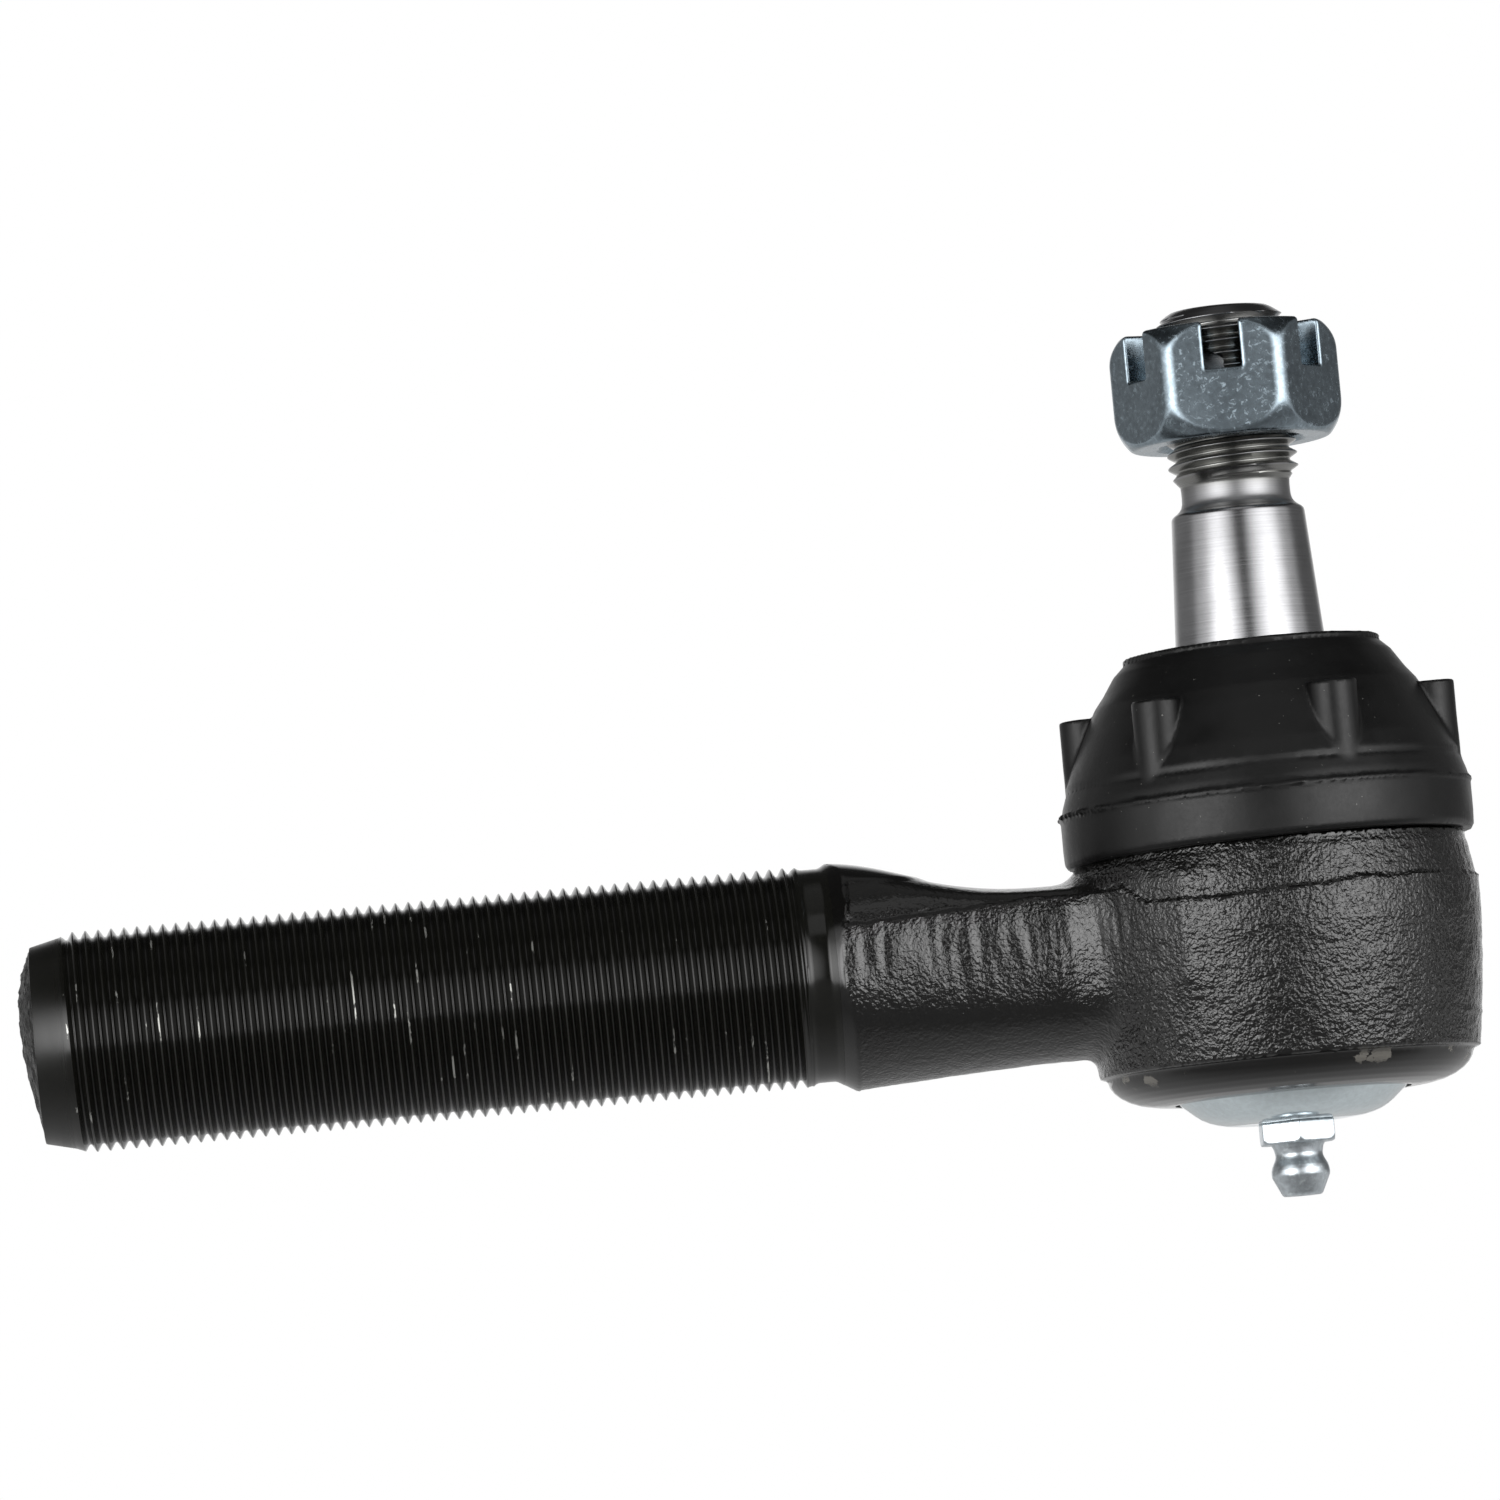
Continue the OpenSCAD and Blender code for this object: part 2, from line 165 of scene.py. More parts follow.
class Shader:
    """A principled material and short calls for the procedural nodes that feed it."""

    def __init__(self, name):
        self.material = bpy.data.materials.new(name)
        self.material.use_nodes = True
        self.nodes = self.material.node_tree.nodes
        self.links = self.material.node_tree.links
        self.principled = self.nodes["Principled BSDF"]
        self.place = self.nodes.new("ShaderNodeTexCoord").outputs["Object"]

    def put(self, socket, value):
        if isinstance(value, bpy.types.NodeSocket):
            self.links.new(value, socket)
        elif isinstance(value, tuple) and len(value) == 3 and len(socket.default_value) == 4:
            socket.default_value = (*value, 1)
        else:
            socket.default_value = value

    def set(self, socket, value):
        self.put(self.principled.inputs[socket], value)

    def stretch(self, scale):
        node = self.nodes.new("ShaderNodeMapping")
        self.put(node.inputs["Vector"], self.place)
        node.inputs["Scale"].default_value = scale
        return node.outputs[0]

    def noise(self, scale, detail, roughness=0.5, distortion=0.0, place=None):
        node = self.nodes.new("ShaderNodeTexNoise")
        self.put(node.inputs["Vector"], place or self.place)
        node.inputs["Scale"].default_value = scale
        node.inputs["Detail"].default_value = detail
        node.inputs["Roughness"].default_value = roughness
        node.inputs["Distortion"].default_value = distortion
        return node.outputs["Fac"]

    def axis(self, name):
        node = self.nodes.new("ShaderNodeSeparateXYZ")
        self.put(node.inputs[0], self.place)
        return node.outputs[name]

    def math(self, operation, a, b):
        node = self.nodes.new("ShaderNodeMath")
        node.operation = operation
        self.put(node.inputs[0], a)
        self.put(node.inputs[1], b)
        return node.outputs[0]

    def span(self, value, low, high, start=0.0, end=1.0):
        """value mapped from low..high to start..end, and held outside."""
        node = self.nodes.new("ShaderNodeMapRange")
        self.put(node.inputs["Value"], value)
        for name, number in (("From Min", low), ("From Max", high), ("To Min", start), ("To Max", end)):
            node.inputs[name].default_value = number
        return node.outputs["Result"]

    def ramp(self, value, stops):
        node = self.nodes.new("ShaderNodeValToRGB")
        self.put(node.inputs[0], value)
        for i, (position, colour) in enumerate(stops):
            element = node.color_ramp.elements[i] if i < 2 else node.color_ramp.elements.new(position)
            element.position = position
            element.color = (*colour, 1)
        return node.outputs["Color"]

    def mix(self, factor, a, b):
        node = self.nodes.new("ShaderNodeMix")
        node.data_type = "RGBA"
        self.put(node.inputs[0], factor)
        self.put(node.inputs[6], a)
        self.put(node.inputs[7], b)
        return node.outputs[2]

    def bump(self, height, distance, strength, normal=None):
        node = self.nodes.new("ShaderNodeBump")
        self.put(node.inputs["Height"], height)
        node.inputs["Distance"].default_value = distance
        node.inputs["Strength"].default_value = strength
        if normal is not None:
            self.put(node.inputs["Normal"], normal)
        return node.outputs[0]

    def stored(self, name):
        """A value that the shape code stores on each vertex."""
        node = self.nodes.new("ShaderNodeAttribute")
        node.attribute_name = name
        return node.outputs["Fac"]


def black_paint():
    """Gloss paint over a forged skin: the larger lumps are in the mesh, the finer ones here."""
    s = Shader("black_forging_paint")
    forged = s.stored("forged")
    fine = s.noise(1700, detail=4, roughness=0.6)
    lumps = s.noise(2500, detail=1.5, roughness=0.45, distortion=0.35)
    patches = s.noise(290, detail=6, roughness=0.6)
    knock = s.math("ADD", patches, s.math("MULTIPLY", s.stored("knock"), 0.16))
    chips = s.math("MULTIPLY", s.stored("chip"), s.span(knock, 0.61, 0.625))
    paint = s.ramp(fine, [(0.2, (0.0024, 0.0023, 0.0021)), (0.8, (0.0038, 0.0036, 0.0033))])
    s.principled.inputs["IOR"].default_value = 1.64
    s.set("Base Color", s.mix(chips, paint, (0.2, 0.19, 0.17)))
    s.set("Metallic", s.math("MULTIPLY", chips, 0.4))
    s.set("Roughness", s.math("ADD", s.span(fine, 0.3, 0.7, 0.1, 0.17), s.math("MULTIPLY", chips, 0.2)))
    grain = s.bump(s.math("MULTIPLY", fine, forged), 0.00007, 0.6)
    s.set("Normal", s.bump(s.math("MULTIPLY", lumps, s.stored("lumpy")), 0.00015, 1.0, grain))
    return s.material


def thread_paint():
    """Gloss black on the shank's thread, bare specks along the crests and a coarse sheared end."""
    s = Shader("black_thread_paint")
    fine = s.noise(1800, detail=3)
    sheared = s.stored("sheared")
    turned = s.noise(1500, detail=2, place=s.stretch((1.0, 0.03, 0.03)))
    spots = s.span(s.noise(300, detail=6, roughness=0.66, place=s.stretch((1.6, 0.5, 0.5))), 0.62, 0.64)
    chips = s.math("MULTIPLY", s.stored("crest"), spots)
    paint = s.ramp(fine, [(0.3, (0.0046, 0.0046, 0.0037)), (0.7, (0.0064, 0.0064, 0.005))])
    s.set("Base Color", s.mix(chips, paint, (0.36, 0.36, 0.34)))
    s.set("Metallic", s.math("MULTIPLY", chips, 0.7))
    gloss = s.span(turned, 0.3, 0.7, 0.13, 0.2)
    satin = s.math("ADD", s.math("MULTIPLY", s.stored("satin"), 0.17), s.math("MULTIPLY", sheared, 0.26))
    s.set("Roughness", s.math("ADD", gloss, satin))
    s.set("Normal", s.bump(s.math("MULTIPLY", fine, sheared), 0.0006, 1.0))
    return s.material


def zinc(name, tint, relief, rough, contrast, uneven, nicked=0.0):
    """Bluish zinc plating: mottled shade, lightly brushed, with fine pale nicks.

    relief is the grain's height in metres, contrast how much darker the mottle is than tint, uneven how
    far the roughness strays from rough, and nicked how pale the nicks are.
    """
    s = Shader(name)
    mottle = s.noise(1500, detail=4, roughness=0.62, distortion=0.3)
    cloud = s.noise(230, detail=3)
    brushed = s.noise(2600, detail=2, place=s.stretch((1.0, 1.0, 0.05)))
    shade = s.math("ADD", s.math("MULTIPLY", mottle, 0.8), s.math("MULTIPLY", cloud, 0.2))
    dull = tuple(c * (1 - contrast) for c in tint)
    nicks = s.span(s.noise(1500, detail=4, roughness=0.7, distortion=0.8), 0.58, 0.65, 0.0, nicked)
    pale = tuple(min(1.0, c * 1.3) for c in tint)
    s.set("Base Color", s.mix(nicks, s.ramp(shade, [(0.36, dull), (0.64, tint)]), pale))
    s.set("Metallic", 1.0)
    gloss = s.span(cloud, 0.35, 0.65, rough - uneven, rough + uneven)
    s.set("Roughness", s.math("ADD", gloss, s.math("MULTIPLY", nicks, 0.16)))
    height = s.math("ADD", mottle, s.math("MULTIPLY", brushed, 0.5))
    s.set("Normal", s.bump(height, relief, 0.6))
    return s.material


def ground_steel():
    """The stud: faint rings left by grinding on the taper, and a darker rolled thread with painted shade in
    its grooves.
    """
    s = Shader("stud_ground_steel")
    rings = s.noise(6000, detail=3, roughness=0.6, place=s.stretch((0.004, 0.004, 1.0)))
    cloud = s.noise(170, detail=4, roughness=0.6)
    shade = s.math("ADD", s.math("MULTIPLY", cloud, 0.5), s.math("MULTIPLY", rings, 0.5))
    bright = s.ramp(shade, [(0.36, (0.28, 0.28, 0.285)), (0.64, (0.38, 0.38, 0.39))])
    # Rolled thread: a darker tone, and painted shade in the grooves, which stay darker than the crests.
    s.set("Base Color", s.mix(s.stored("rolled_tone_and_groove_shade"), bright, (0.25, 0.25, 0.24)))
    s.set("Metallic", 1.0)
    gloss = s.span(rings, 0.3, 0.7, 0.2, 0.27)
    s.set("Roughness", s.math("ADD", gloss, s.math("MULTIPLY", s.stored("turned"), 0.14)))
    s.set("Normal", s.bump(rings, 0.000003, 0.5))
    return s.material


def boot_rubber():
    """Satin black rubber with a fine grain and a few specks of dust."""
    s = Shader("boot_satin_rubber")
    specks = s.noise(2400, detail=4, roughness=0.7)
    cloud = s.noise(200, detail=4, roughness=0.6)
    dust = s.span(s.noise(2300, detail=2), 0.75, 0.77)
    s.principled.inputs["IOR"].default_value = 1.42
    rubber = s.ramp(cloud, [(0.3, (0.0026, 0.0026, 0.0026)), (0.7, (0.0042, 0.0042, 0.0042))])
    s.set("Base Color", s.mix(dust, rubber, (0.16, 0.16, 0.15)))
    s.set("Roughness", s.span(s.math("ADD", specks, cloud), 0.7, 1.3, 0.32, 0.44))
    s.set("Normal", s.bump(specks, 0.00002, 0.4, s.bump(cloud, 0.0001, 0.3)))
    return s.material


def plain(name, colour, metallic, rough, grain=900):
    """A procedural finish for the pieces inside: slight clouds in colour, gloss and relief."""
    s = Shader(name)
    cloud = s.noise(grain, detail=5, roughness=0.6)
    s.set("Base Color", s.ramp(cloud, [(0.3, tuple(c * 0.85 for c in colour)), (0.7, colour)]))
    s.set("Metallic", metallic)
    s.set("Roughness", s.span(cloud, 0.3, 0.7, rough - 0.06, rough + 0.08))
    s.set("Normal", s.bump(cloud, 0.00002, 0.4))
    return s.material


# ---------------------------------------------------------------- shape tools

# A turn that keeps the noise's grid from lining up with any face.
SKEW = np.array(Matrix.Rotation(0.9, 3, (1, 2, 3)).transposed())
# Large odd numbers that scatter a grid point and a seed into a hash.
SCATTER = np.array([374761393, 668265263, 1442695041])
SEED_SCATTER = 982451653
HASH_BITS = 0xFFFFFFFF


def lattice(points, period, seed):
    """Smooth value noise from -1 to 1, with bumps about `period` millimetres across, off the main axes."""
    q = points @ SKEW / period
    base = np.floor(q).astype(np.int64)
    f = q - base
    f = f * f * (3 - 2 * f)
    total = np.zeros(len(points))
    for corner in range(8):
        step = np.array([corner & 1, corner >> 1 & 1, corner >> 2 & 1])
        c = base + step
        h = (c @ SCATTER + seed * SEED_SCATTER) & HASH_BITS
        h = ((h ^ (h >> 13)) * 1274126177) & HASH_BITS
        value = ((h ^ (h >> 16)) & 0xFFFFFF) / 0x7FFFFF - 1
        total += value * np.prod(np.where(step, f, 1 - f), axis=1)
    return total


def smin(a, b, k):
    """The smaller of two distances, rounded off over k millimetres."""
    h = np.clip(0.5 + 0.5 * (b - a) / k, 0, 1)
    return b + (a - b) * h - k * h * (1 - h)


def smax(a, b, k):
    """The larger of two distances, rounded off over k millimetres."""
    return -smin(-a, -b, k)


def arc(centre, radius, first, last, steps):
    """Points along an arc between two angles in degrees."""
    angles = np.radians(np.linspace(first, last, steps + 1))
    return [(centre[0] + radius * math.cos(t), centre[1] + radius * math.sin(t)) for t in angles]


class Outline:
    """Distance to a closed (radius, height) outline, tabulated once so that solids look it up fast."""

    STEP = 0.05

    def __init__(self, points, margin=3.0):
        p = np.array(points, float)
        self.low = p.min(axis=0) - margin
        count = np.ceil((p.max(axis=0) + margin - self.low) / self.STEP).astype(int) + 2
        r, z = np.meshgrid(*(self.low[i] + self.STEP * np.arange(count[i]) for i in (0, 1)), indexing="ij")
        nearest = np.full(r.shape, 1e9)
        inside = np.zeros(r.shape, bool)
        for (r0, z0), (r1, z1) in zip(p, np.roll(p, -1, axis=0)):
            dr, dz = r1 - r0, z1 - z0
            t = np.clip(((r - r0) * dr + (z - z0) * dz) / max(dr * dr + dz * dz, 1e-12), 0, 1)
            nearest = np.minimum(nearest, (r - r0 - t * dr) ** 2 + (z - z0 - t * dz) ** 2)
            crosses = (z0 > z) != (z1 > z)
            if dz:
                inside ^= crosses & (r < r0 + (z - z0) * dr / dz)
        self.table = np.where(inside, -1, 1) * np.sqrt(nearest)

    def at(self, r, z):
        """The distance at r and z, blended from the four nearest entries of the table."""
        u = np.clip((r - self.low[0]) / self.STEP, 0, self.table.shape[0] - 1.001)
        v = np.clip((z - self.low[1]) / self.STEP, 0, self.table.shape[1] - 1.001)
        i, j = u.astype(np.int32), v.astype(np.int32)
        u, v = u - i, v - j
        t = self.table
        return ((t[i, j] * (1 - u) + t[i + 1, j] * u) * (1 - v)
                + (t[i, j + 1] * (1 - u) + t[i + 1, j + 1] * u) * v)


CORNERS = np.array([(i, j, k) for i in (0, 1) for j in (0, 1) for k in (0, 1)])
EDGES = [(a, b) for a in range(8) for b in range(a + 1, 8) if np.abs(CORNERS[a] - CORNERS[b]).sum() == 1]


def gradient(field, points, step):
    """The field's slope along x, y and z, from its values a step to either side."""
    parts = []
    for axis in np.eye(3) * step:
        parts.append((field(*(points + axis).T) - field(*(points - axis).T)) / (2 * step))
    return np.stack(parts, axis=1)


def surface_of(field, low, high, cell):
    """Vertices and quads where field(x, y, z) is zero, and negative inside.

    Each cell that the surface crosses gets one vertex, which is then drawn onto the surface.
    """
    low = np.array(low, float)
    axes = [low[i] + cell * np.arange(int(math.ceil((high[i] - low[i]) / cell)) + 1) for i in range(3)]
    values = field(*np.meshgrid(*axes, indexing="ij"))
    inside = values < 0
    count = sum(inside[a:a + inside.shape[0] - 1, b:b + inside.shape[1] - 1, c:c + inside.shape[2] - 1]
                .astype(np.int8) for a, b, c in CORNERS)
    crossed = np.argwhere((count > 0) & (count < 8))
    number = np.full(count.shape, -1, np.int32)
    number[tuple(crossed.T)] = np.arange(len(crossed))
    corner_values = np.stack([values[tuple((crossed + c).T)] for c in CORNERS], axis=1)
    total = np.zeros((len(crossed), 3))
    hits = np.zeros(len(crossed))
    for a, b in EDGES:
        va, vb = corner_values[:, a], corner_values[:, b]
        cut = (va < 0) != (vb < 0)
        t = np.where(cut, va / np.where(cut, va - vb, 1), 0)[:, None]
        total += np.where(cut[:, None], CORNERS[a] + t * (CORNERS[b] - CORNERS[a]), 0)
        hits += cut
    vertices = low + cell * (crossed + total / hits[:, None])
    quads = []
    for axis in range(3):
        u, v = [i for i in range(3) if i != axis]
        here = np.moveaxis(inside, axis, 0)
        change = np.argwhere(np.moveaxis(here[:-1] != here[1:], 0, axis)[
            tuple(slice(None) if i == axis else slice(1, -1) for i in range(3))])
        change += np.array([0 if i == axis else 1 for i in range(3)])
        solid_first = inside[tuple(change.T)]
        ring = []
        for du, dv in ((1, 1), (0, 1), (0, 0), (1, 0)):
            cell_at = change.copy()
            cell_at[:, u] -= du
            cell_at[:, v] -= dv
            ring.append(number[tuple(cell_at.T)])
        quad = np.stack(ring, axis=1)
        flip = solid_first == (axis == 1)
        quad[flip] = quad[flip][:, ::-1]
        quads.append(quad)
    for _ in range(3):
        slope = gradient(field, vertices, cell * 0.1)
        steepness = np.maximum((slope ** 2).sum(axis=1, keepdims=True), 0.05)
        move = field(*vertices.T)[:, None] * slope / steepness
        vertices -= np.clip(move, -0.4 * cell, 0.4 * cell)
    return vertices, np.concatenate(quads)


def normals_of(field, points):
    """Unit vectors that point out of the solid."""
    slope = gradient(field, points, 0.05)
    return slope / np.maximum(np.linalg.norm(slope, axis=1, keepdims=True), 1e-9)


def build(name, vertices, faces, material, values=None):
    """A smooth-shaded object from millimetre vertices. values holds per-vertex numbers for the material."""
    mesh = bpy.data.meshes.new(name)
    if isinstance(faces, np.ndarray):
        faces = [tuple(face) for face in faces.tolist()]
    mesh.from_pydata((vertices * MM).tolist(), [], faces)
    for key, numbers in (values or {}).items():
        layer = mesh.attributes.new(key, "FLOAT", "POINT")
        layer.data.foreach_set("value", np.asarray(numbers, np.float32))
    mesh.validate()
    mesh.shade_smooth()
    mesh.materials.append(material)
    piece = bpy.data.objects.new(name, mesh)
    bpy.context.scene.collection.objects.link(piece)
    return piece


def stand_for(piece, body, node):
    """Lets the piece ride on a body in place of a CAD node."""
    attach(piece, body)
    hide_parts(node)


def revolve(outline, sides):
    """Vertices and faces of a closed (radius, height) outline turned about Z.

    Points on the axis are shared. The faces point outwards when the outline runs out along the
    underside and up the outside.
    """
    vertices, rows = [], []
    for r, z in outline:
        if r < 1e-6:
            rows.append([len(vertices)] * sides)
            vertices.append((0, 0, z))
        else:
            rows.append(list(range(len(vertices), len(vertices) + sides)))
            turns = [TAU * i / sides for i in range(sides)]
            vertices += [(r * math.cos(turn), r * math.sin(turn), z) for turn in turns]
    faces = []
    for low, high in zip(rows, rows[1:] + rows[:1]):
        for i in range(sides):
            j = (i + 1) % sides
            ring = [low[i], low[j], high[j], high[i]]
            face = tuple(v for n, v in enumerate(ring) if v not in ring[:n])
            if len(face) > 2:
                faces.append(face)
    return np.array(vertices, float), faces


# Thread profile over one pitch, as (share of the pitch, share of the depth below the crest).
THREAD_STEPS = [(0.0, 0.0), (0.045, 0.03), (0.09, 0.13), (0.36, 0.86), (0.42, 0.965),
                (0.5, 1.0), (0.58, 0.965), (0.64, 0.86), (0.91, 0.13), (0.955, 0.03)]


def threaded(envelope, start, end, crest, sides, run_in):
    """A rod along +Z with a right-hand thread from start to end, inside an outline of (height, radius).

    Rows of vertices follow the helix, so the ridges stay crisp. The last column repeats the first one
    turn on, and weld() joins the two. The groove reaches its depth after run_in. Returns vertices, faces
    and each vertex's crest value, 1 on a ridge.
    """
    heights, radii = np.array(envelope).T
    turn = np.arange(sides + 1) / sides
    level = np.zeros(sides + 1)
    rows = [(level + h, level + r, level) for h, r in envelope if h < start]
    for k in range(-2, int((end - start) / PITCH) + 2):
        for share, depth in THREAD_STEPS:
            z = start + (k + share + turn) * PITCH
            fade = np.clip((z - start) / run_in, 0, 1) * np.clip((end - z) / (0.5 * PITCH), 0, 1)
            z = np.clip(z, start, end)
            limit = np.minimum(np.interp(z, heights, radii), crest)
            r = np.minimum(limit, crest - depth * THREAD_DEPTH * fade)
            rows.append((z, r, (depth < 0.1) * (fade > 0.5)))
    rows += [(level + h, level + r, level) for h, r in envelope if h > end]
    vertices = np.concatenate([np.stack([r * np.cos(TAU * turn), r * np.sin(TAU * turn), z], axis=1)
                               for z, r, _ in rows])
    crests = np.concatenate([c for _, _, c in rows])
    i, j = np.meshgrid(np.arange(len(rows) - 1), np.arange(sides), indexing="ij")
    first = i * (sides + 1) + j
    quads = np.stack([first, first + 1, first + sides + 2, first + sides + 1], axis=-1)
    faces = [tuple(q) for q in quads.reshape(-1, 4).tolist()]
    last = (len(rows) - 1) * (sides + 1)
    faces.append(tuple(range(sides - 1, -1, -1)))
    faces.append(tuple(last + n for n in range(sides)))
    return vertices, faces, crests


def weld(piece):
    """Joins the vertices that the ends and the seam of a helix leave on top of each other."""
    reach = 0.004 * MM
    mesh = piece.data
    bm = bmesh.new()
    bm.from_mesh(mesh)
    bmesh.ops.remove_doubles(bm, verts=bm.verts, dist=reach)
    bmesh.ops.dissolve_degenerate(bm, edges=bm.edges, dist=reach * 0.1)
    bm.to_mesh(mesh)
    bm.free()


def sharpen(piece, degrees):
    """Shades edges that turn by more than this angle as crisp ones."""
    piece.data.set_sharp_from_angle(angle=math.radians(degrees))


def cut(piece, tool):
    """Takes the tool's solid out of the piece and removes the tool."""
    modifier = piece.modifiers.new("cut", "BOOLEAN")
    modifier.operation = "DIFFERENCE"
    modifier.solver = "EXACT"
    modifier.object = tool
    bpy.context.view_layer.update()
    result = bpy.data.meshes.new_from_object(piece.evaluated_get(bpy.context.evaluated_depsgraph_get()))
    piece.modifiers.clear()
    piece.data = result
    bpy.data.objects.remove(tool)


# ---------------------------------------------------------------- housing

HEAD_R = HOUSING_HIGH[0]
HEAD_TOP, HEAD_BOTTOM = 12.5, -17.7
# The turned collar that the boot goes over: its radius and the height of the ledge round it.
COLLAR_R, COLLAR_Z = 20.0, 9.4
# The neck's end, and the radius of the turned relief between it and the shank's thread.
SHOULDER_X = 47.5
RELIEF_R = 11.65
# The turned cone between the neck and the relief: its rise per length, and where it would meet the relief.
CONE_SLOPE, CONE_FOOT = 0.59, SHOULDER_X + 2.0
# Build-up of paint on the crests of the shank's thread.
PAINT = 0.15


def head_outline():
    return ([(0, HEAD_TOP), (COLLAR_R, HEAD_TOP), (COLLAR_R, COLLAR_Z), (HEAD_R - 1.1, COLLAR_Z + 0.2),
             (HEAD_R - 0.6, 8.2), (HEAD_R - 0.1, 5), (HEAD_R, 0), (HEAD_R - 0.2, -4), (HEAD_R - 0.6, -8),
             (HEAD_R - 1.4, -14.0), (HEAD_R - 2.25, -14.3)]
            + [(20.0, -14.55), (19.85, -15.05), (19.45, -15.65), (18.8, -16.25), (17.85, -16.82),
               (16.7, -17.25), (15.3, -17.53), (13.9, -17.67), (12.6, HEAD_BOTTOM), (0, HEAD_BOTTOM)])


def cavity_outline():
    """The hole through the head from its mouth down: the ball's seat, the cover's recess and the lip."""
    seat = arc((0, 0), 15.6, 36.5, 0, 12)
    return ([(0, HEAD_TOP + 2), (14.6, HEAD_TOP + 2), (14.2, HEAD_TOP)] + seat
            + [(15.6, -15.9), (16.7, -15.9), (16.7, -16.9), (12.95, -16.9), (12.95, HEAD_BOTTOM - 2),
               (0, HEAD_BOTTOM - 2)])


def ease(value, low, high):
    """A smooth step from 0 at low to 1 at high."""
    t = np.clip((value - low) / (high - low), 0, 1)
    return t * t * (3 - 2 * t)


def forged_body():
    """The distance to the forging without its cavity, as a function of x, y and z."""
    head = Outline(head_outline())
    neck_r, neck_half = 11.83, 10.2
    norm = math.hypot(1, CONE_SLOPE)

    def body(x, y, z):
        r = np.hypot(x, y)
        rho = np.hypot(y, z)
        along = -x
        flank = y / (1 + 0.62 * np.clip((25.5 - along) / 11.5, 0, 1.2) ** 1.8)
        rise = np.clip((along - 22) / 28, 0, 1)
        top = 7.6 + 4.6 * (1 - np.cos(math.pi * rise ** 1.5)) / 2 - 0.012 * flank * flank
        flare = np.clip((along - 23) / 24.5, 0, 1) ** 1.7
        neck = smax(np.hypot(flank, z) - (neck_r + 1.15 * flare), z - top, 1.5)
        neck = smax(neck, np.abs(flank) - (neck_half + 2.6 * flare), 2.0)
        cone = (rho - RELIEF_R - CONE_SLOPE * (CONE_FOOT - along)) / norm
        neck = np.maximum(neck, cone)
        neck = np.maximum(neck, np.maximum(along - SHOULDER_X - 1.6, 8 - along))
        solid = smin(head.at(r, z), neck, 1.3 + 1.5 * ease(z, 3, 7))
        collar = np.minimum(np.minimum(z - COLLAR_Z, r - COLLAR_R), 28 - r)
        return np.maximum(solid, collar)

    return body


# The parting line's height along x, from the shoulder past the head's far side.
PARTING = [(-48, 4.4), (-38, 5.0), (-27, 5.8), (-17.5, 5.6), (-15, 3.7), (-3, 3.4), (8, 4.2), (22, 4.6)]


def lumpiness(points):
    """How lumpy the skin is: 1 on the head and the neck's sides, less on the neck's top and underside."""
    x, y, z = points.T
    line = np.interp(x, *np.array(PARTING).T)
    return 1 - ease(-x, 19, 24) * (0.35 * ease(-z, 2, 5) + 0.7 * ease(z - line, -0.4, 0.4))


def neck_side(points):
    """1 along the middle of the neck's sides, where the skin is streaked, and 0 elsewhere."""
    x, y, z = points.T
    return np.exp(-((z - 1.2) / 3.2) ** 2) * ease(-x, 15, 20)


def forged_relief(points, where):
    """How far the forged skin stands out: lumps, streaks along the neck and the die's parting step."""
    x, y, z = points.T
    on_neck = ease(-x, 19, 24)
    lumpy = lumpiness(points)
    lumps = 0.35 * lattice(points, 1.3, 1) + 0.65 * lattice(points, 0.7, 2)
    swells = lattice(points, 4.5, 3)
    side = neck_side(points)
    streaks = lattice(points * (1, 1, 0.18), 0.8, 4) * side
    line = np.interp(x, *np.array(PARTING).T)
    edge_z = line + 0.22 * lattice(points * (1, 1, 0.1), 2.4, 6) + 0.1 * lattice(points, 0.7, 7)
    step = ease(edge_z - z, -0.12, 0.12) - 0.5
    burr = np.exp(-((z - edge_z) / 0.16) ** 2) * np.clip(lattice(points * (1, 1, 0.2), 1.6, 5) + 0.1, 0, 1)
    ledge = np.exp(-((z + 10.5) / 0.2) ** 2) * np.clip(lattice(points * (1, 1, 0), 9, 8) + 0.1, 0, 1)
    ledge = ledge * (1 - on_neck)
    return (0.07 * lumps * lumpy * (1 - 0.6 * side) + 0.05 * swells + 0.16 * streaks
            + 0.32 * step * ease(z, -4, 3) + 0.25 * burr + 0.2 * ledge - 0.06) * where


def make_forging():
    body = forged_body()
    low = (-SHOULDER_X - 4, -HEAD_R - 1, HEAD_BOTTOM - 1)
    high = (HEAD_R + 1, HEAD_R + 1, HEAD_TOP + 1)
    points, quads = surface_of(body, low, high, 0.3)
    x, y, z = points.T
    r, rho = np.hypot(x, y), np.hypot(y, z)
    cone_r = RELIEF_R + CONE_SLOPE * (CONE_FOOT + x) + 0.06 * lattice(points, 0.7, 9)
    # 1 where the skin is as forged, and 0 on the faces that were turned.
    forged = np.clip((z + 14.1) / 0.4, 0, 1) * np.clip((COLLAR_Z - 0.2 - z) / 0.4 + (r > 28), 0, 1)
    forged = forged * np.clip((r - 17.5) / 1.0, 0, 1) * np.clip((cone_r - rho - 0.08) / 0.14, 0, 1)
    points = points + normals_of(body, points) * forged_relief(points, forged)[:, None]
    # The bottom rim's edge, where the paint is chipped, and the one place there that was knocked.
    chip = np.exp(-((z + 15.0) / 0.7) ** 2) * (r > 14)
    knock = np.exp(-((x - 8.2) / 1.7) ** 2 - ((z + 14.95) / 0.5) ** 2) * (y < 0)
    lumpy = forged * lumpiness(points) * (1 - 0.45 * neck_side(points))
    values = {"chip": chip, "knock": knock, "forged": forged, "lumpy": lumpy}
    piece = build("forging", points, quads, black_paint(), values=values)
    tool_v, tool_f = revolve(cavity_outline()[::-1], 160)
    cut(piece, build("cavity_tool", tool_v, tool_f, piece.data.materials[0]))
    sharpen(piece, 50)
    stand_for(piece, "housing", "housing")


